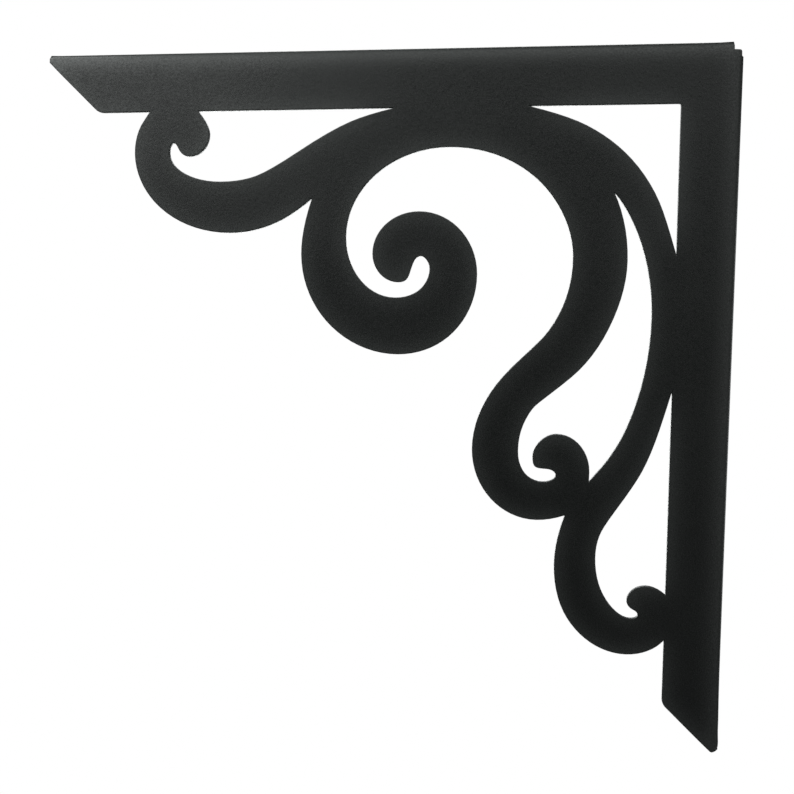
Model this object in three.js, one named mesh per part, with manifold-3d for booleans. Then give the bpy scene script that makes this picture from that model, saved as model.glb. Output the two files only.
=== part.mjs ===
import * as THREE from 'three';
import { mergeVertices } from 'three/addons/utils/BufferGeometryUtils.js';
import Module from 'manifold-3d';

const wasm = await Module();
wasm.setup();

// Overall sizes in millimetres
const REACH = 294.3;
const DROP = 305.3;
const BAR_WIDTH = 25;
const SHEET = 2;
const INSIDE_BEND_RADIUS = 1.5;
const FLANGE_DEPTH = 25;

// Reliefs at the corner: how far each flange stops short of the other's bend line,
// and how far the flat tab between them reaches past the wall bend line
const SHELF_FLANGE_RELIEF = 0.8;
const WALL_FLANGE_RELIEF = 2.5;
const CORNER_TAB_REACH = 2;

// Slanting ends of the two bars
const BAR_END_RADIUS = 5;
const LEG_CUT_RISE = 0.4;

// Small rounding in the square corner between the bars
const INNER_CORNER_RADIUS = 1;

// Flange corners and screw holes
const FLANGE_CORNER_RADIUS = 3;
const SCREW_HOLE_DIAMETER = 5.5;
const SCREW_HOLE_INSET = 40;

// Largest gap between a drawn curve and its facets, and the facets of a bend or a hole
const CHORD_TOLERANCE = 0.04;
const ARC_STEPS = 12;

// How far a cut runs past the sheet, and the distance within which corners are joined
const CUT_MARGIN = 1;
const JOIN_DISTANCE = 0.0001;

// Curve handles: the share of a plain chord, the share of a true arc, and what counts as straight
const CHORD_HANDLE = 1 / 3;
const ARC_HANDLE = 4 / 3;
const STRAIGHT_ANGLE = 0.001;

// Sizes that follow from the others
const OUTSIDE_BEND_RADIUS = INSIDE_BEND_RADIUS + SHEET;
const WALL_BEND_LINE = REACH - OUTSIDE_BEND_RADIUS;
const SHELF_BEND_LINE = DROP - OUTSIDE_BEND_RADIUS;
const WALL_BAR_EDGE = REACH - BAR_WIDTH;
const SHELF_BAR_EDGE = DROP - BAR_WIDTH;
const SHELF_FLANGE_LENGTH = WALL_BEND_LINE - SHELF_FLANGE_RELIEF;
const WALL_FLANGE_LENGTH = SHELF_BEND_LINE - WALL_FLANGE_RELIEF;
const CORNER_TAB_EDGE = WALL_BEND_LINE + CORNER_TAB_REACH;

// The scrollwork is drawn in shares of the space beside the bars: x from the arm's tip to the
// wall bar, z from the leg's tip to the shelf bar. Each node is x, z and the heading of the edge
// there in degrees, in the same shares. A sharp point has two headings.

// Outer edge of the scrollwork, from the shelf bar round to the wall bar
const OUTER_EDGE = [
  [0.1638, 1, 0, -127],
  [0.1493, 0.9804, -121],
  [0.1374, 0.9361, -90],
  [0.1768, 0.8548, -41],
  [0.2926, 0.8152, 0],
  [0.3658, 0.8298, 22],
  [0.4263, 0.8666, 38, -110.5],
  [0.4081, 0.7813, -90],
  [0.4564, 0.6707, -43],
  [0.5641, 0.6279, 0],
  [0.6457, 0.6554, 39],
  [0.6911, 0.751, 90],
  [0.5982, 0.8466, 180],
  [0.5236, 0.7827, -90],
  [0.5652, 0.7389, 0],
  [0.5782, 0.7431, 43],
  [0.5845, 0.756, 72.5],
  [0.5919, 0.7735, 53],
  [0.6016, 0.7788, 0],
  [0.6105, 0.7731, -51],
  [0.6153, 0.7595, -90],
  [0.606, 0.7346, -128],
  [0.5603, 0.7157, 180],
  [0.4809, 0.8063, 90],
  [0.6457, 0.9418, 0],
  [0.808, 0.8669, -53],
  [0.8411, 0.7756, -90],
  [0.8307, 0.7132, -109.5],
  [0.798, 0.6568, -131],
  [0.7635, 0.624, -138],
  [0.7141, 0.5697, -123.5],
  [0.6851, 0.4816, -90],
  [0.7909, 0.3703, 0],
  [0.8362, 0.3785, 19.5, -110.5],
  [0.8203, 0.2997, -90],
  [0.8426, 0.2141, -57],
  [0.9395, 0.1573, 0],
  [1, 0.1823, 49, -90],
];

// Opening between the shelf bar and the small scroll at its tip
const TIP_OPENING = [
  [0.244, 1, 180, -49],
  [0.2614, 0.9661, -90],
  [0.228, 0.9319, 180],
  [0.2143, 0.9376, 136],
  [0.2083, 0.9472, 115],
  [0.2024, 0.9526, 180],
  [0.1949, 0.9372, -90],
  [0.2781, 0.8937, 0],
  [0.3368, 0.9022, 19],
  [0.4048, 0.9376, 31],
  [0.4894, 0.9814, 21],
  [0.557, 1, 11.5, 180],
];

// Outer side of the big arc, across the square corner between the bars
const CORNER_ARC = [
  [0.7694, 1, 180, -13.5],
  [0.8578, 0.9711, -26],
  [0.928, 0.9208, -46],
  [0.9718, 0.8577, -64.5],
  [1, 0.7795, -72.5, 90],
];

// Long opening between the big arc, the middle scroll and the wall vine
const MIDDLE_OPENING = [
  [0.9027, 0.8723, 133, -62],
  [0.9179, 0.832, -75],
  [0.9257, 0.7706, -90],
  [0.8994, 0.6693, -116],
  [0.8541, 0.6051, -135.5],
  [0.8076, 0.5669, -143],
  [0.7854, 0.5491, -134.5],
  [0.7679, 0.5212, -114],
  [0.7597, 0.4791, -90],
  [0.7716, 0.4431, -48],
  [0.7999, 0.431, 0],
  [0.8203, 0.442, 90],
  [0.8065, 0.4513, 175],
  [0.7932, 0.4524, 170.5],
  [0.7854, 0.4567, 122],
  [0.7828, 0.4702, 90],
  [0.7958, 0.4959, 41],
  [0.8203, 0.5062, 0],
  [0.8741, 0.4477, -90],
  [0.8737, 0.4324, -91, 52],
  [0.9023, 0.4666, 55],
  [0.9306, 0.5162, 67],
  [0.9651, 0.6868, 90],
  [0.9514, 0.7809, 106.5],
  [0.9291, 0.8348, 118],
];

// Opening between the wall vine, the lowest scroll and the wall bar
const LOWER_OPENING = [
  [1, 0.5737, 90, -105.5],
  [0.9829, 0.5155, -107],
  [0.9506, 0.4377, -121],
  [0.9172, 0.3878, -125.5],
  [0.8953, 0.3535, -116],
  [0.8867, 0.3122, -90],
  [0.9061, 0.244, -56],
  [0.9447, 0.2158, 0],
  [0.9569, 0.2215, 90],
  [0.9517, 0.2287, 152],
  [0.9439, 0.2333, 140],
  [0.9384, 0.2444, 90],
  [0.9684, 0.2686, 0],
  [1, 0.2554, -40, 90],
];

// A node of the frame, in plate millimetres
function frameNode(x, z, headingIn, headingOut = headingIn) {
  const way = (heading) => {
    const angle = THREE.MathUtils.degToRad(heading);
    return new THREE.Vector2(Math.cos(angle), Math.sin(angle));
  };
  return { point: new THREE.Vector2(x, z), wayIn: way(headingIn), wayOut: way(headingOut) };
}

// A node of the scrollwork, stretched from shares to millimetres
function scrollNode([x, z, headingIn, headingOut]) {
  const node = frameNode(x, z, headingIn, headingOut);
  const stretch = new THREE.Vector2(WALL_BAR_EDGE, SHELF_BAR_EDGE);
  node.point.multiply(stretch);
  node.wayIn.multiply(stretch).normalize();
  node.wayOut.multiply(stretch).normalize();
  return node;
}

// The smooth edge from one node to the next, without its first point.
// Handles reach toward the crossing of the two tangents, so equal reaches give a true arc.
function edgeBetween(from, to) {
  const chord = to.point.clone().sub(from.point);
  const leaving = from.wayOut;
  const arriving = to.wayIn;
  const angleTo = (a, b) => Math.abs(Math.atan2(a.cross(b), a.dot(b)));
  const bend = angleTo(leaving, chord) + angleTo(chord, arriving);
  if (bend < STRAIGHT_ANGLE) {
    return [to.point];
  }
  const across = leaving.cross(arriving);
  const leavingReach = chord.cross(arriving) / across;
  const arrivingReach = leaving.cross(chord) / across;
  let leavingHandle = CHORD_HANDLE * chord.length();
  let arrivingHandle = CHORD_HANDLE * chord.length();
  if (Math.abs(across) > STRAIGHT_ANGLE && leavingReach > 0 && arrivingReach > 0) {
    const share = ARC_HANDLE * Math.tan(bend / 4) / Math.tan(bend / 2);
    leavingHandle = share * leavingReach;
    arrivingHandle = share * arrivingReach;
  }
  const curve = new THREE.CubicBezierCurve(
    from.point,
    from.point.clone().addScaledVector(leaving, leavingHandle),
    to.point.clone().addScaledVector(arriving, -arrivingHandle),
    to.point,
  );
  const steps = Math.ceil(Math.sqrt(bend * curve.getLength() / (8 * CHORD_TOLERANCE)));
  return curve.getPoints(steps).slice(1);
}

function closedEdge(nodes) {
  return nodes.flatMap((node, index) => edgeBetween(node, nodes[(index + 1) % nodes.length]));
}

// The flat plate's outer edge: both bars, the scrollwork and the corner tab
function plateShape() {
  const cutCorner = BAR_END_RADIUS * Math.tan(Math.PI / 8);
  const slant = Math.SQRT1_2 * cutCorner;
  const armCorner = BAR_WIDTH - OUTSIDE_BEND_RADIUS;
  const legCorner = BAR_WIDTH - OUTSIDE_BEND_RADIUS + LEG_CUT_RISE;
  return new THREE.Shape(closedEdge([
    frameNode(0, SHELF_BEND_LINE, 180, -45),
    frameNode(armCorner - slant, SHELF_BAR_EDGE + slant, -45),
    frameNode(armCorner + cutCorner, SHELF_BAR_EDGE, 0),
    ...OUTER_EDGE.map(scrollNode),
    frameNode(WALL_BAR_EDGE, legCorner + cutCorner, -90),
    frameNode(WALL_BAR_EDGE + slant, legCorner - slant, -45),
    frameNode(WALL_BEND_LINE, LEG_CUT_RISE, -45, 90),
    frameNode(WALL_BEND_LINE, WALL_FLANGE_LENGTH, 90, 0),
    frameNode(CORNER_TAB_EDGE, WALL_FLANGE_LENGTH, 0, 90),
    frameNode(CORNER_TAB_EDGE, SHELF_BEND_LINE, 90, 180),
  ]));
}

// The four closed openings in the plate
function openingShapes() {
  const squareCorner = [
    frameNode(WALL_BAR_EDGE, SHELF_BAR_EDGE - INNER_CORNER_RADIUS, 90),
    frameNode(WALL_BAR_EDGE - INNER_CORNER_RADIUS, SHELF_BAR_EDGE, 180),
  ];
  return [
    TIP_OPENING.map(scrollNode),
    [...CORNER_ARC.map(scrollNode), ...squareCorner],
    MIDDLE_OPENING.map(scrollNode),
    LOWER_OPENING.map(scrollNode),
  ].map((nodes) => new THREE.Shape(closedEdge(nodes)));
}

// A quarter bend across the sheet, from the plate's bend line to the flange
function bendShape() {
  const shape = new THREE.Shape();
  shape.absarc(0, 0, OUTSIDE_BEND_RADIUS, 0, Math.PI / 2, false);
  shape.absarc(0, 0, INSIDE_BEND_RADIUS, Math.PI / 2, 0, true);
  return shape;
}

// A flat flange: along its bar, then back from the bend
function flangeShape(length) {
  const width = FLANGE_DEPTH - OUTSIDE_BEND_RADIUS;
  const round = FLANGE_CORNER_RADIUS;
  const shape = new THREE.Shape();
  shape.moveTo(0, 0);
  shape.lineTo(length, 0);
  shape.absarc(length - round, width - round, round, 0, Math.PI / 2, false);
  shape.absarc(round, width - round, round, Math.PI / 2, Math.PI, false);
  for (const along of [SCREW_HOLE_INSET, length - SCREW_HOLE_INSET]) {
    const hole = new THREE.Path();
    hole.absarc(along, width / 2, SCREW_HOLE_DIAMETER / 2, 0, Math.PI * 2, false);
    shape.holes.push(hole);
  }
  return shape;
}

// Extrudes a shape drawn in the first two directions along the third
function extrudeAlong(shape, depth, first, second, third, corner) {
  const options = { depth, bevelEnabled: false, curveSegments: ARC_STEPS };
  const geometry = new THREE.ExtrudeGeometry(shape, options);
  const placing = new THREE.Matrix4().makeBasis(first, second, third);
  placing.setPosition(corner);
  return geometry.applyMatrix4(placing);
}

function toSolid(geometry) {
  const bare = geometry.clone();
  bare.deleteAttribute('normal');
  bare.deleteAttribute('uv');
  const merged = mergeVertices(bare, JOIN_DISTANCE);
  return new wasm.Manifold(new wasm.Mesh({
    numProp: 3,
    vertProperties: new Float32Array(merged.attributes.position.array),
    triVerts: new Uint32Array(merged.index.array),
  }));
}

function toGeometry(solid) {
  const mesh = solid.getMesh();
  const geometry = new THREE.BufferGeometry();
  geometry.setAttribute('position', new THREE.BufferAttribute(new Float32Array(mesh.vertProperties), 3));
  geometry.setIndex(new THREE.BufferAttribute(new Uint32Array(mesh.triVerts), 1));
  geometry.computeVertexNormals();
  return geometry;
}

const RIGHT = new THREE.Vector3(1, 0, 0);
const LEFT = new THREE.Vector3(-1, 0, 0);
const UP = new THREE.Vector3(0, 0, 1);
const DOWN = new THREE.Vector3(0, 0, -1);
const BACK = new THREE.Vector3(0, 1, 0);
const FORWARD = new THREE.Vector3(0, -1, 0);

// Folded sheet, placed with the arm's tip at x 0, the leg's tip at z 0 and the plate's front at y 0
const plate = extrudeAlong(plateShape(), SHEET, RIGHT, UP, FORWARD, new THREE.Vector3(0, SHEET, 0));
const openings = openingShapes().map((shape) => extrudeAlong(
  shape, SHEET + 2 * CUT_MARGIN, RIGHT, UP, FORWARD, new THREE.Vector3(0, SHEET + CUT_MARGIN, 0),
));
const shelfBend = extrudeAlong(
  bendShape(), SHELF_FLANGE_LENGTH, UP, FORWARD, RIGHT,
  new THREE.Vector3(0, OUTSIDE_BEND_RADIUS, SHELF_BEND_LINE),
);
const wallBend = extrudeAlong(
  bendShape(), WALL_FLANGE_LENGTH, RIGHT, FORWARD, DOWN,
  new THREE.Vector3(WALL_BEND_LINE, OUTSIDE_BEND_RADIUS, WALL_FLANGE_LENGTH),
);
const shelfFlange = extrudeAlong(
  flangeShape(SHELF_FLANGE_LENGTH), SHEET, RIGHT, BACK, UP,
  new THREE.Vector3(0, OUTSIDE_BEND_RADIUS, DROP - SHEET),
);
const wallFlange = extrudeAlong(
  flangeShape(WALL_FLANGE_LENGTH), SHEET, UP, BACK, LEFT,
  new THREE.Vector3(REACH, OUTSIDE_BEND_RADIUS, 0),
);

const pierced = openings.map(toSolid).reduce((solid, opening) => solid.subtract(opening), toSolid(plate));
const folded = [shelfBend, wallBend, shelfFlange, wallFlange]
  .map(toSolid)
  .reduce((joined, piece) => joined.add(piece), pierced);

// The origin sits on the wall flange, in the middle of its flat outer face
const geometry = toGeometry(folded);
geometry.translate(-REACH, -(OUTSIDE_BEND_RADIUS + FLANGE_DEPTH) / 2, -WALL_FLANGE_LENGTH / 2);

const coating = new THREE.MeshStandardMaterial({ color: 0x2c2d2d, roughness: 0.6, metalness: 0.1 });
const bracket = new THREE.Mesh(geometry, coating);
bracket.name = 'scroll_bracket';

const part = new THREE.Group();
part.name = 'scroll_shelf_bracket';
part.add(bracket);

export default part;
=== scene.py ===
import math

import bmesh
import bpy
import numpy as np
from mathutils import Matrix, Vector, geometry, kdtree


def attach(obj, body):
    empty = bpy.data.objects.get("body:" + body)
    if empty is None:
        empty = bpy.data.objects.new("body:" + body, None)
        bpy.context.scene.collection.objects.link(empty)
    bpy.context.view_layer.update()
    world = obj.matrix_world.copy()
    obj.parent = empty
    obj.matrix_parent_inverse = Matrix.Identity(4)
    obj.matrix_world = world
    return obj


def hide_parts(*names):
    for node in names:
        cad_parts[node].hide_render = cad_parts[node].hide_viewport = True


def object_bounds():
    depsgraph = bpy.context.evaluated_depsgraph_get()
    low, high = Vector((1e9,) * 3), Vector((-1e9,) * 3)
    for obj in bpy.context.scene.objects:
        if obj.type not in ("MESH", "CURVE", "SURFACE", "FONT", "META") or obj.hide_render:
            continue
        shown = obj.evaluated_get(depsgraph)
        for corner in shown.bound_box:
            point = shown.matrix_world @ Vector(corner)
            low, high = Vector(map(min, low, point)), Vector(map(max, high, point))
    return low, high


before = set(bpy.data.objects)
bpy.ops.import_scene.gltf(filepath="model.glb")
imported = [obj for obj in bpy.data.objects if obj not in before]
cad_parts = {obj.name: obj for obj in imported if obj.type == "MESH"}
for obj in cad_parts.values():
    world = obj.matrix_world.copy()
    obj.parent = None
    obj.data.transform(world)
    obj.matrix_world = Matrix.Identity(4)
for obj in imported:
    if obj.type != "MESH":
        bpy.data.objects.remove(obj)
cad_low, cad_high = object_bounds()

NODE = "scroll_bracket"
MM = 0.001

# The folded sheet in millimetres. Flat positions run from the arm's tip and from the leg's tip.
REACH, FLANGE_DEPTH, DROP = [side / MM for side in cad_high - cad_low]
SHEET = 2.0
HALF_SHEET = SHEET / 2
OUTSIDE_BEND_RADIUS = 3.5
SHELF_BEND_LINE = DROP - OUTSIDE_BEND_RADIUS
WALL_BEND_LINE = REACH - OUTSIDE_BEND_RADIUS

# Each flange ends short of the other fold's bend line, with a small tab in the corner between them
SHELF_FLANGE_GAP = 0.8
WALL_FLANGE_GAP = 2.5
SHELF_FLANGE_END = WALL_BEND_LINE - SHELF_FLANGE_GAP
WALL_FLANGE_END = SHELF_BEND_LINE - WALL_FLANGE_GAP
CORNER_TAB_REACH = 2.2
CORNER_TAB_DROP = 0.1
CORNER_TAB_RADIUS = 0.7
FLANGE_CORNER_RADIUS = 3.0
SCREW_HOLE_RADIUS = 2.75
SCREW_HOLE_INSET = 40.0

# The wall fold's rounded lower end: the height over the leg's tip at which the plate's own outline stops,
# and the points after it, each with its distance across the bend line and its height
LEG_TIP_START = 0.4
LEG_TIP = [
    (-0.8, 1.2), (-0.1, 0.5), (0.6, 0.15), (1.2, 0.4),
    (1.7, 1.0), (2.1, 1.8), (2.7, 2.5), (3.8, 2.9),
]

# A fold is tight at its middle and fades into the plate with a soft tail. Each tail has its turn in
# degrees, its spread and how far its middle lies inside the fold's. The fold's table runs past the bend
# and the flange by the span.
FOLD_TURN = 90.0
FOLD_SPREAD = 0.8
SHELF_TAIL = (18.0, 2.4, 3.2)
WALL_TAIL = (15.0, 3.0, 4.2)
FOLD_SPAN = 18.0
FOLD_STEP = 0.02

# The folds are a little out of true. The shelf's leans in toward the corner and the wall's hardly does.
# Their free ends stand out as ears, each with a height and a reach along the fold.
SHELF_FOLD_LEAN = 0.35
WALL_FOLD_LEAN = 0.05
SHELF_EAR = (0.5, 4.0)
LEG_EAR = (1.5, 18.0)

# Rounding of the cut edges under the coat, and the spacing of the mesh
EDGE_RADIUS = 0.35
EDGE_STEPS = 4
EDGE_SUPPORT = 0.15
CORNER_STEPS = 8
SCREW_HOLE_STEPS = 48
OUTLINE_SPACING = 1.5
BEND_SPACING = 0.45
BEND_HALF_WIDTH = 3.6
PLATE_SPACING = 2.0
PLATE_START = 1.0
FLANGE_START = 4.5
EDGE_CLEARANCE = 0.6
SHARP_TURN = math.radians(35)
FAN_TURN = math.radians(20)

# Small amounts in millimetres: the front face's greatest depth, the step for slopes and the fill's
# tolerance. In metres: how near equal places are and how small empty faces are.
FRONT_DEPTH = 0.01
SLOPE_STEP = 0.01
FILL_TOLERANCE = 1e-6
SAME_PLACE = 1e-7
EMPTY_FACE = 1e-8

# How many digits tell the CAD's corners apart, and how many points are tested at once
PLACE_DIGITS = 3
POINTS_AT_ONCE = 500

# Painted glow: the coat's colour is made paler beside open space, a painted highlight standing in for light
# from the bright surroundings spilling round the edges, counted within about the glow's reach
PAINTED_GLOW = "painted_glow"
GLOW_REACH = 4.5
GLOW_MARGIN = 20.0
COAT_MIDDLE = (0.0100, 0.0112, 0.0109, 1)
# The paler edge tone is painted light, not the coat's own colour
PAINTED_GLOW_TONE = (0.0370, 0.0395, 0.0385, 1)
COAT_ROUGHNESS = 0.42

# The coat's noises: how many cells to a metre, and the range that the values mostly keep to
GRAIN_SCALE = 1150.0
GRAIN_ROUGHNESS = 0.65
PEEL_SCALE = 620.0
CLOUD_SCALE = 38.0
FINE_DETAIL = 3.0
CLOUD_DETAIL = 4.0
NOISE_LOW = 0.3
NOISE_HIGH = 0.7

# What the noises do: the grain's part in the tone and in the roughness, the cloud's part in the roughness,
# and the heights of the grain and of the orange peel in metres
SPECKLE = 0.28
SPARKLE = 0.14
PATCHINESS = 0.03
GRAIN_HEIGHT = 0.00006
PEEL_HEIGHT = 0.00005

# The floor: half its side and how far it lies below the bracket in metres, and its tone
FLOOR_HALF_SIDE = 3.0
FLOOR_DROP = 0.35
FLOOR_TONE = (0.2, 0.2, 0.2, 1)
WHITE = (1, 1, 1, 1)

# Soft lights: azimuth to the right and elevation in degrees, distance and side in metres, power in watts
LIGHT_AIM = (-0.15, 0, 0)
LIGHT_COLOUR = (0.965, 1.0, 0.985)
LIGHTS = [
    ("key", -35, 35, 0.6, 0.35, 0.84),
    ("key_left", -60, 45, 0.6, 0.35, 0.70),
    ("above", 5, 50, 0.6, 0.35, 0.38),
    ("top_left", -65, 72, 0.6, 0.35, 0.23),
    ("tip", -82, 55, 0.45, 0.1, 0.12),
    ("right", 35, 35, 1.2, 0.7, 2.0),
    ("front_right", 42, 5, 1.2, 0.7, 0.66),
    ("low_right", 40, -30, 1.2, 0.7, 0.67),
    ("top_right", 25, 68, 1.0, 0.6, 0.6),
    ("side", 70, 0, 1.2, 0.7, 0.38),
    ("front", -8, 12, 1.4, 0.8, 0.36),
    ("back", 187, -8, 1.2, 0.7, 6.0),
    ("back_high", 178, 36, 1.2, 0.7, 4.0),
    ("back_left", -150, 10, 1.2, 0.7, 4.0),
    ("back_right", 120, -5, 1.2, 0.7, 2.0),
]

# The photograph's camera: its sensor and lens in millimetres, its nearest distance and its place
# in metres, and the way it looks
SENSOR_WIDTH = 36.0
LENS = 45.0
CLIP_START = 0.01
EYE = (-0.1023, -0.44305, 0.05845)
VIEW = (-0.0929, 0.9888, -0.1170)


def merged_points(mesh):
    """The mesh's corners as (x, depth, z) in flat millimetres, with equal corners sharing a number."""
    numbers = {}
    points = []
    index = []
    for vertex in mesh.vertices:
        point = (vertex.co - cad_low) / MM
        key = tuple(round(value, PLACE_DIGITS) for value in point)
        if key not in numbers:
            numbers[key] = len(points)
            points.append(key)
        index.append(numbers[key])
    return points, index


def plate_loops(mesh):
    """The outlines of the plate's front face, the outer one first, each with the metal on its left."""
    points, index = merged_points(mesh)
    edges = set()
    for polygon in mesh.polygons:
        corners = [index[v] for v in polygon.vertices]
        if all(points[c][1] < FRONT_DEPTH for c in corners):
            edges.update(zip(corners, corners[1:] + corners[:1]))
    following = {first: second for first, second in edges if (second, first) not in edges}
    loops = []
    while following:
        start = next(iter(following))
        loop = [start]
        while following[loop[-1]] != start:
            loop.append(following[loop[-1]])
        for corner in loop:
            del following[corner]
        loops.append([(points[c][0], points[c][2]) for c in loop])
    return sorted(loops, key=lambda loop: -np.ptp(np.array(loop), axis=0).sum())


def arc(centre, radius, start, end, steps=CORNER_STEPS):
    """Points of an arc from one angle to the other, in degrees."""
    turns = [math.radians(start + (end - start) * k / steps) for k in range(steps + 1)]
    return [(centre[0] + radius * math.cos(t), centre[1] + radius * math.sin(t)) for t in turns]


def normal_share(values):
    """The share of a bell curve that lies below each value."""
    return np.array([0.5 + 0.5 * math.erf(value / math.sqrt(2)) for value in values])


class Fold:
    """How the sheet's middle layer runs across one fold: turn, place and depth for each flat position."""

    def __init__(self, outer_edge, tail):
        tail_turn, tail_spread, tail_inset = tail
        run = np.arange(-FOLD_SPAN, FLANGE_DEPTH + FOLD_SPAN, FOLD_STEP)
        core_part = (FOLD_TURN - tail_turn) * normal_share(run / FOLD_SPREAD)
        tail_part = tail_turn * normal_share((run + tail_inset) / tail_spread)
        self.turn = np.radians(core_part + tail_part)
        place = np.cumsum(np.cos(self.turn)) * FOLD_STEP
        depth = np.cumsum(np.sin(self.turn)) * FOLD_STEP
        place += outer_edge - HALF_SHEET - place[-1]
        self.flat = run + place[0] - run[0]
        self.shift = place - self.flat
        self.depth = depth - depth[0]
        self.end = float(np.interp(FLANGE_DEPTH - HALF_SHEET, self.depth, self.flat))
        self.centre = float(np.interp(math.pi / 4, self.turn, self.flat))

    def at(self, flat):
        """Turn in radians, place and depth in millimetres at flat positions."""
        turn = np.interp(flat, self.flat, self.turn)
        place = flat + np.interp(flat, self.flat, self.shift)
        return turn, place, np.interp(flat, self.flat, self.depth)


SHELF_FOLD = Fold(DROP, SHELF_TAIL)
WALL_FOLD = Fold(REACH, WALL_TAIL)


def folded(flat):
    """The middle layer's points in millimetres for flat points."""
    wall_turn, x, wall_depth = WALL_FOLD.at(flat[:, 0])
    shelf_turn, z, shelf_depth = SHELF_FOLD.at(flat[:, 1])
    depth = shelf_depth * (1 - np.sin(wall_turn)) + wall_depth * (1 - np.sin(shelf_turn))
    x_share = np.clip(flat[:, 0] / SHELF_FLANGE_END, 0, 1)
    z_share = np.clip(flat[:, 1] / WALL_FLANGE_END, 0, 1)
    z = z - SHELF_FOLD_LEAN * x_share * np.sin(shelf_turn)
    x = x - WALL_FOLD_LEAN * z_share ** 2 * np.sin(wall_turn)
    return np.stack([x, depth + HALF_SHEET, z], axis=1)


def ear(distance, height, reach):
    """How far a fold stands out at a distance from its free end."""
    return height * np.exp(-np.clip(distance, 0, None) / reach)


def ears(flat):
    """How far each point stands out over the true fold."""
    x, z = flat[:, 0], flat[:, 1]
    wall_turn = WALL_FOLD.at(x)[0]
    shelf_turn = SHELF_FOLD.at(z)[0]
    shelf_ends = ear(x, *SHELF_EAR) + ear(SHELF_FLANGE_END - x, *SHELF_EAR)
    leg_end = ear(z, *LEG_EAR)
    return shelf_ends * np.sin(2 * shelf_turn) ** 2 + leg_end * np.sin(2 * wall_turn) ** 2


def folded_at(flat, height):
    """Points at a height over the middle layer, toward the sheet's front, in metres in the frame."""
    right = folded(flat + (SLOPE_STEP, 0)) - folded(flat - (SLOPE_STEP, 0))
    up = folded(flat + (0, SLOPE_STEP)) - folded(flat - (0, SLOPE_STEP))
    front = np.cross(right, up)
    front /= np.linalg.norm(front, axis=1)[:, None]
    points = folded(flat) + front * (ears(flat) + height)[:, None]
    return np.clip(points, 0, (REACH, FLANGE_DEPTH, DROP)) * MM + np.array(cad_low)


def nearest(points, place):
    """The number of the point that lies nearest to a place."""
    return min(range(len(points)), key=lambda k: math.dist(points[k], place))


def flat_outline(plate):
    """The flat sheet's outer outline: the plate's free edge, the wall flange, the tab, the shelf flange."""
    start = nearest(plate, (0, SHELF_BEND_LINE))
    turned = plate[start:] + plate[:start]
    stop = nearest(turned, (WALL_BEND_LINE, LEG_TIP_START))
    radius = FLANGE_CORNER_RADIUS
    tab = WALL_BEND_LINE + CORNER_TAB_REACH
    tab_top = SHELF_BEND_LINE - CORNER_TAB_DROP
    tab_radius = CORNER_TAB_RADIUS
    wall_end, shelf_end = WALL_FOLD.end, SHELF_FOLD.end
    return [
        *turned[:stop],
        *[(WALL_BEND_LINE + across, height) for across, height in LEG_TIP],
        *arc((wall_end - radius, radius), radius, -90, 0),
        *arc((wall_end - radius, WALL_FLANGE_END - radius), radius, 0, 90),
        (tab, WALL_FLANGE_END),
        *arc((tab - tab_radius, tab_top - tab_radius), tab_radius, 0, 90),
        (SHELF_FLANGE_END, tab_top),
        *arc((SHELF_FLANGE_END - radius, shelf_end - radius), radius, 0, 90),
        *arc((radius, shelf_end - radius), radius, 90, 180),
    ]


def screw_holes():
    """The flanges' holes in the flat sheet, each with the metal on its left."""
    half_flange = (FLANGE_DEPTH - OUTSIDE_BEND_RADIUS) / 2
    shelf_middle = SHELF_FOLD.end - half_flange
    wall_middle = WALL_FOLD.end - half_flange
    centres = [
        (SCREW_HOLE_INSET, shelf_middle),
        (SHELF_FLANGE_END - SCREW_HOLE_INSET, shelf_middle),
        (wall_middle, SCREW_HOLE_INSET),
        (wall_middle, WALL_FLANGE_END - SCREW_HOLE_INSET),
    ]
    return [arc(centre, SCREW_HOLE_RADIUS, 360, 0, SCREW_HOLE_STEPS)[:-1] for centre in centres]


def spaced(loop, spacing):
    """The loop with points added so that no edge is longer than the spacing."""
    out = []
    for first, second in zip(loop, np.roll(loop, -1, axis=0)):
        count = max(1, math.ceil(math.dist(first, second) / spacing))
        for k in range(count):
            out.append(first + (second - first) * (k / count))
    return np.array(out)


def with_insets(loop):
    """The loop's points, each with the way in which the metal's edge is inset. Sharp notches get a fan."""
    points = []
    ways = []
    before = loop - np.roll(loop, 1, axis=0)
    after = np.roll(loop, -1, axis=0) - loop
    for point, first, second in zip(loop, before, after):
        angle_in = math.atan2(first[1], first[0])
        turn = (math.atan2(second[1], second[0]) - angle_in + math.pi) % (2 * math.pi) - math.pi
        if turn < -SHARP_TURN:
            count = math.ceil(-turn / FAN_TURN)
            turns = [turn * k / count for k in range(count + 1)]
            reach = 1.0
        else:
            turns = [turn / 2]
            reach = 1 / math.cos(turn / 2)
        for part in turns:
            way = angle_in + part + math.pi / 2
            points.append(point)
            ways.append((reach * math.cos(way), reach * math.sin(way)))
    return np.array(points), np.array(ways)


def edge_rows():
    """Inset and height of each row round a cut edge, from the front face to the back face."""
    rows = [(EDGE_RADIUS + EDGE_SUPPORT, HALF_SHEET)]
    for k in range(EDGE_STEPS + 1):
        turn = math.pi / 2 * k / EDGE_STEPS
        inset = EDGE_RADIUS * (1 - math.sin(turn))
        rows.append((inset, HALF_SHEET - EDGE_RADIUS * (1 - math.cos(turn))))
    return rows + [(inset, -height) for inset, height in reversed(rows)]


def clear_of(points, loops, clearance):
    """The flat points that lie further than the clearance from all the loops."""
    marks = np.concatenate([spaced(loop, clearance) for loop in loops])
    tree = kdtree.KDTree(len(marks))
    for k, (x, z) in enumerate(marks):
        tree.insert((x, z, 0), k)
    tree.balance()
    distances = np.array([tree.find((x, z, 0))[2] for x, z in points])
    return points[distances > clearance]


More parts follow.
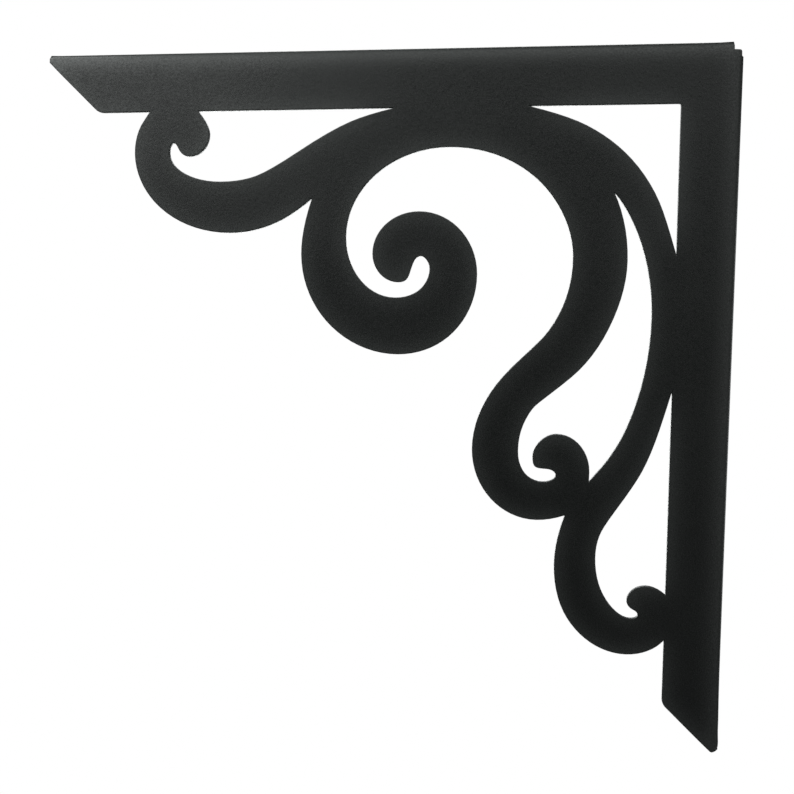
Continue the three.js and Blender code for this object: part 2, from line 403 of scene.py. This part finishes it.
def rows_across(fold):
    """Flat positions from the plate over the fold to the flange's end, close together where it bends."""
    plate = np.arange(PLATE_START, fold.centre - BEND_HALF_WIDTH, PLATE_SPACING)
    bend = np.arange(fold.centre - BEND_HALF_WIDTH, fold.centre + BEND_HALF_WIDTH, BEND_SPACING)
    flange = np.arange(fold.centre + FLANGE_START, fold.end, PLATE_SPACING)
    return np.concatenate([plate, bend, flange])


def inner_points(loops):
    """Points between the outlines that let the folds bend and carry the painted glow."""
    grid = np.meshgrid(rows_across(WALL_FOLD), rows_across(SHELF_FOLD))
    return clear_of(np.stack(grid, axis=-1).reshape(-1, 2), loops, EDGE_CLEARANCE)


def inside(points, loops):
    """Whether each flat point lies in the metal, by counting the outline's edges to its right."""
    first = np.concatenate(loops)
    second = np.concatenate([np.roll(loop, -1, axis=0) for loop in loops])
    low = np.minimum(first[:, 1], second[:, 1])
    high = np.maximum(first[:, 1], second[:, 1])
    result = np.zeros(len(points), bool)
    for part in np.array_split(np.argsort(points[:, 1]), math.ceil(len(points) / POINTS_AT_ONCE)):
        x, z = points[part, :1], points[part, 1:]
        near = (low <= z.max()) & (high > z.min())
        a, b = first[near], second[near]
        crosses = (a[:, 1] > z) != (b[:, 1] > z)
        rise = np.where(a[:, 1] == b[:, 1], 1, b[:, 1] - a[:, 1])
        crossing = a[:, 0] + (z - a[:, 1]) * (b[:, 0] - a[:, 0]) / rise
        result[part] = (crosses & (crossing > x)).sum(axis=1) % 2 == 1
    return result


def flat_triangles(loops):
    """Points and triangles that fill the metal between the loops."""
    points = np.concatenate([*loops, inner_points(loops)])
    edges = []
    first = 0
    for loop in loops:
        numbers = list(range(first, first + len(loop)))
        edges += list(zip(numbers, numbers[1:] + numbers[:1]))
        first += len(loop)
    flat = [Vector(point) for point in points]
    fill_everything = 0
    out = geometry.delaunay_2d_cdt(flat, edges, [], fill_everything, FILL_TOLERANCE, True)
    corners = np.array([tuple(corner) for corner in out[0]])
    triangles = np.array(out[2])
    triangles = triangles[inside(corners[triangles].mean(axis=1), loops)]
    used, numbers = np.unique(triangles, return_inverse=True)
    return corners[used], numbers.reshape(-1, 3)


def open_share(loops):
    """A map, one value for each square millimetre, of how open the plate's surroundings are."""
    x, z = np.meshgrid(
        np.arange(-GLOW_MARGIN, REACH + GLOW_MARGIN),
        np.arange(-GLOW_MARGIN, DROP + GLOW_MARGIN),
    )
    metal = inside(np.stack([x.ravel(), z.ravel()], axis=1), loops).reshape(x.shape)
    clear = np.where(metal & (x < REACH - HALF_SHEET) & (z < DROP - HALF_SHEET), 0.0, 1.0)
    across = np.arange(-GLOW_MARGIN, GLOW_MARGIN + 1)
    spread = np.exp(-0.5 * (across / GLOW_REACH) ** 2)
    spread /= spread.sum()
    for axis in (0, 1):
        clear = np.apply_along_axis(lambda line: np.convolve(line, spread, "same"), axis, clear)
    return clear


def painted_glow_of(flat, clear):
    """How strong the painted glow of the open surroundings is at each flat point: 0 far from open space,
    about 1 at a straight edge.

    Half of what surrounds a straight edge is open, so the share of open space is doubled.
    """
    x, _, z = (folded(flat) + (GLOW_MARGIN, 0, GLOW_MARGIN)).T
    column, row = x.astype(int), z.astype(int)
    right, up = x - column, z - row
    lower = clear[row, column] * (1 - right) + clear[row, column + 1] * right
    upper = clear[row + 1, column] * (1 - right) + clear[row + 1, column + 1] * right
    # The painted glow fades where the sheet turns away round the folds
    facing = np.cos(WALL_FOLD.at(flat[:, 0])[0]) * np.cos(SHELF_FOLD.at(flat[:, 1])[0])
    return 2 * (lower * (1 - up) + upper * up) * facing


def sheet_mesh(loops):
    """The folded sheet as one closed mesh with rounded cut edges."""
    places = []
    faces = []
    painted_glows = []
    clear = open_share(loops)
    sides = [with_insets(loop) for loop in loops]
    rows = edge_rows()
    rims = [points + rows[0][0] * ways for points, ways in sides]
    corners, triangles = flat_triangles(rims)
    for height, order in ((HALF_SHEET, 1), (-HALF_SHEET, -1)):
        first = sum(map(len, places))
        places.append(folded_at(corners, np.full(len(corners), height)))
        painted_glows.append(painted_glow_of(corners, clear))
        faces += [tuple(first + k for k in triangle[::order]) for triangle in triangles.tolist()]
    for points, ways in sides:
        first = sum(map(len, places))
        count = len(points)
        for inset, height in rows:
            flat = points + inset * ways
            places.append(folded_at(flat, np.full(count, height)))
            painted_glows.append(painted_glow_of(flat, clear))
        for row in range(len(rows) - 1):
            for k in range(count):
                here = first + row * count + k
                there = first + row * count + (k + 1) % count
                faces.append((here, here + count, there + count, there))
    mesh = bpy.data.meshes.new("bracket")
    mesh.from_pydata(np.concatenate(places).tolist(), [], faces)
    # The painted glow of the open surroundings, stored on the points for the coat's colour to read
    painted_glow_mark = mesh.attributes.new(PAINTED_GLOW, "FLOAT", "POINT")
    painted_glow_mark.data.foreach_set("value", np.concatenate(painted_glows).astype(np.float32))
    return mesh


def tidy_mesh(mesh):
    """Joins equal corners, drops empty faces and shades the whole smooth."""
    work = bmesh.new()
    work.from_mesh(mesh)
    bmesh.ops.remove_doubles(work, verts=work.verts, dist=SAME_PLACE)
    bmesh.ops.dissolve_degenerate(work, dist=EMPTY_FACE, edges=work.edges)
    loose = [vertex for vertex in work.verts if not vertex.link_faces]
    bmesh.ops.delete(work, geom=loose, context="VERTS")
    for face in work.faces:
        face.smooth = True
    work.to_mesh(mesh)
    work.free()


def new_object(name, data):
    """An object that shows the data, linked to the scene."""
    thing = bpy.data.objects.new(name, data)
    bpy.context.scene.collection.objects.link(thing)
    return thing


def build_bracket():
    """The one piece: the whole folded sheet in its coat, in the place of the CAD node."""
    plate, *openings = plate_loops(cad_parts[NODE].data)
    outlines = [flat_outline(plate), *openings, *screw_holes()]
    mesh = sheet_mesh([spaced(np.array(outline), OUTLINE_SPACING) for outline in outlines])
    tidy_mesh(mesh)
    mesh.materials.append(powder_coat())
    piece = new_object("bracket", mesh)
    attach(piece, "root")
    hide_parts(NODE)


def new_material(name):
    """A material with an empty node tree, and that tree."""
    material = bpy.data.materials.new(name)
    material.use_nodes = True
    material.node_tree.nodes.clear()
    return material, material.node_tree


def add_node(tree, kind, inputs=None, **settings):
    """A new node. Its inputs are linked where they are given as sockets and set otherwise."""
    node = tree.nodes.new(kind)
    for name, value in settings.items():
        setattr(node, name, value)
    for name, value in (inputs or {}).items():
        if isinstance(value, bpy.types.NodeSocket):
            tree.links.new(value, node.inputs[name])
        else:
            node.inputs[name].default_value = value
    return node


def stretched(tree, noise, low, high):
    """The noise with its usual range stretched to the range from low to high."""
    node = add_node(tree, "ShaderNodeMapRange", {
        "Value": noise, "From Min": NOISE_LOW, "From Max": NOISE_HIGH, "To Min": low, "To Max": high,
    })
    return node.outputs["Result"]


def powder_coat():
    """Satin black powder coat: a fine grain over a softer orange peel, with a painted glow that makes it
    paler toward edges.
    """
    material, tree = new_material("black_powder_coat")
    place = add_node(tree, "ShaderNodeTexCoord").outputs["Object"]
    grain = add_node(tree, "ShaderNodeTexNoise", {
        "Vector": place, "Scale": GRAIN_SCALE, "Detail": FINE_DETAIL, "Roughness": GRAIN_ROUGHNESS,
    }).outputs["Fac"]
    peel = add_node(tree, "ShaderNodeTexNoise", {
        "Vector": place, "Scale": PEEL_SCALE, "Detail": FINE_DETAIL,
    }).outputs["Fac"]
    cloud = add_node(tree, "ShaderNodeTexNoise", {
        "Vector": place, "Scale": CLOUD_SCALE, "Detail": CLOUD_DETAIL,
    }).outputs["Fac"]
    # Painted glow: the coat's tone runs from its own black to a paler painted highlight near open edges
    pale = add_node(tree, "ShaderNodeAttribute", attribute_name=PAINTED_GLOW)
    tone = add_node(tree, "ShaderNodeValToRGB", {"Fac": pale.outputs["Fac"]})
    tone.color_ramp.elements[0].color = COAT_MIDDLE
    tone.color_ramp.elements[1].color = PAINTED_GLOW_TONE
    colour = add_node(tree, "ShaderNodeVectorMath", {
        0: tone.outputs["Color"], "Scale": stretched(tree, grain, 1 - SPECKLE, 1 + SPECKLE),
    }, operation="SCALE")
    roughness = add_node(tree, "ShaderNodeMath", {
        0: stretched(tree, cloud, COAT_ROUGHNESS - PATCHINESS, COAT_ROUGHNESS + PATCHINESS),
        1: stretched(tree, grain, SPARKLE, -SPARKLE),
    }, operation="ADD")
    peel_bump = add_node(tree, "ShaderNodeBump", {
        "Height": peel, "Strength": 1.0, "Distance": PEEL_HEIGHT,
    })
    grain_bump = add_node(tree, "ShaderNodeBump", {
        "Height": grain, "Strength": 1.0, "Distance": GRAIN_HEIGHT, "Normal": peel_bump.outputs["Normal"],
    })
    shader = add_node(tree, "ShaderNodeBsdfPrincipled", {
        "Base Color": colour.outputs["Vector"], "Roughness": roughness.outputs["Value"],
        "Normal": grain_bump.outputs["Normal"],
    })
    add_node(tree, "ShaderNodeOutputMaterial", {"Surface": shader.outputs["BSDF"]})
    return material


def white_for_camera(tree, white, lit):
    """A mix of a plain white, which only the camera sees, and of what everything else sees."""
    path = add_node(tree, "ShaderNodeLightPath")
    mix = add_node(tree, "ShaderNodeMixShader", {
        "Fac": path.outputs["Is Camera Ray"], 1: lit.outputs[0], 2: white.outputs[0],
    })
    return mix.outputs["Shader"]


def build_floor():
    """A plain pale floor well below the bracket."""
    side, height = FLOOR_HALF_SIDE, cad_low.z - FLOOR_DROP
    corners = [(-side, -side, height), (side, -side, height), (side, side, height), (-side, side, height)]
    mesh = bpy.data.meshes.new("floor")
    mesh.from_pydata(corners, [], [(0, 1, 2, 3)])
    material, tree = new_material("pale_floor")
    white = add_node(tree, "ShaderNodeEmission", {"Color": WHITE, "Strength": 1.0})
    pale = add_node(tree, "ShaderNodeBsdfDiffuse", {"Color": FLOOR_TONE})
    add_node(tree, "ShaderNodeOutputMaterial", {"Surface": white_for_camera(tree, white, pale)})
    mesh.materials.append(material)
    floor = new_object("floor", mesh)


def build_world():
    """A world that is white to the camera and gives no light."""
    world = bpy.data.worlds.new("studio")
    world.use_nodes = True
    tree = world.node_tree
    tree.nodes.clear()
    white = add_node(tree, "ShaderNodeBackground", {"Color": WHITE, "Strength": 1.0})
    dark = add_node(tree, "ShaderNodeBackground", {"Color": WHITE, "Strength": 0.0})
    add_node(tree, "ShaderNodeOutputWorld", {"Surface": white_for_camera(tree, white, dark)})
    bpy.context.scene.world = world


def soft_light(name, azimuth, elevation, distance, size, power):
    """A soft square light that points at the bracket, from a direction in degrees off the plate's front."""
    light = bpy.data.lights.new(name, "AREA")
    light.shape = "SQUARE"
    light.size = size
    light.energy = power
    light.color = LIGHT_COLOUR
    lamp = new_object(name, light)
    around, up = math.radians(azimuth), math.radians(elevation)
    way = Vector((math.cos(up) * math.sin(around), -math.cos(up) * math.cos(around), math.sin(up)))
    lamp.location = Vector(LIGHT_AIM) + distance * way
    lamp.rotation_euler = (-way).to_track_quat("-Z", "Y").to_euler()


def build_camera():
    """The photograph's view: a little left of the middle, close, and tilted slightly down."""
    camera = bpy.data.cameras.new("camera")
    camera.sensor_width = SENSOR_WIDTH
    camera.lens = LENS
    camera.clip_start = CLIP_START
    eye = new_object("camera", camera)
    eye.location = EYE
    eye.rotation_euler = Vector(VIEW).to_track_quat("-Z", "Y").to_euler()
    bpy.context.scene.camera = eye


build_bracket()
build_floor()
build_world()
for light in LIGHTS:
    soft_light(*light)
build_camera()
bpy.context.scene.view_settings.view_transform = "Standard"
